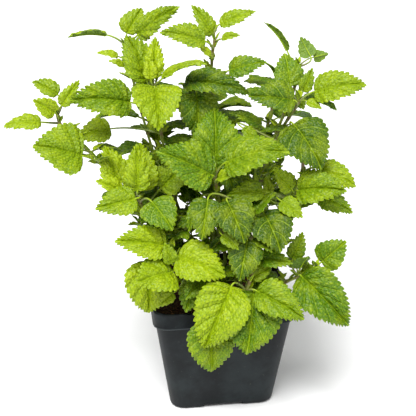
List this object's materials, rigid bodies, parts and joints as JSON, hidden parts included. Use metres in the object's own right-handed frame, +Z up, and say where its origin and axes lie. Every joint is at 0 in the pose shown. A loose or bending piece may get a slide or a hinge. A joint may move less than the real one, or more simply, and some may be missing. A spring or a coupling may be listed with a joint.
{
  "type": "potted herb",
  "caption": "Bushy leafy herb of the mint family growing in a square black nursery pot, for shelves, sills and gardens.",
  "frame": {"origin": "middle of the pot's underside, on the pad that stands level with the pot's four feet", "axes": "+Z up along the pot's axis; the pot's sides face X and Y, and -Y is the front that the picture shows, turned about 7 degrees"},
  "size_m": [0.2547, 0.1884, 0.2951],
  "materials": {
    "pot_plastic": "satin black injection-moulded plastic, slightly dusty",
    "potting_soil": "moist coir and bark potting mix, matt",
    "leaf": "soft puckered leaf, yellow-green, satin with fine hairs"
  },
  "bodies": {
    "root": {"pot": "pot_plastic", "soil": "potting_soil", "shoot_left_tall": "leaf", "shoot_left_back": "leaf", "shoot_far_left": "leaf", "shoot_left_low": "leaf", "shoot_middle": "leaf", "shoot_right_tall": "leaf", "shoot_right_back": "leaf", "shoot_top": "leaf", "shoot_inner": "leaf", "shoot_right_mid": "leaf", "shoot_front_mid": "leaf", "shoot_front_left": "leaf", "shoot_front_low": "leaf", "shoot_right_low": "leaf", "shoot_low_inner": "leaf", "shoot_back_left": "leaf", "shoot_back_middle": "leaf", "shoot_back_right": "leaf", "shoot_low_left": "leaf", "shoot_low_back_left": "leaf", "shoot_low_back_right": "leaf"}
  },
  "joints": []
}
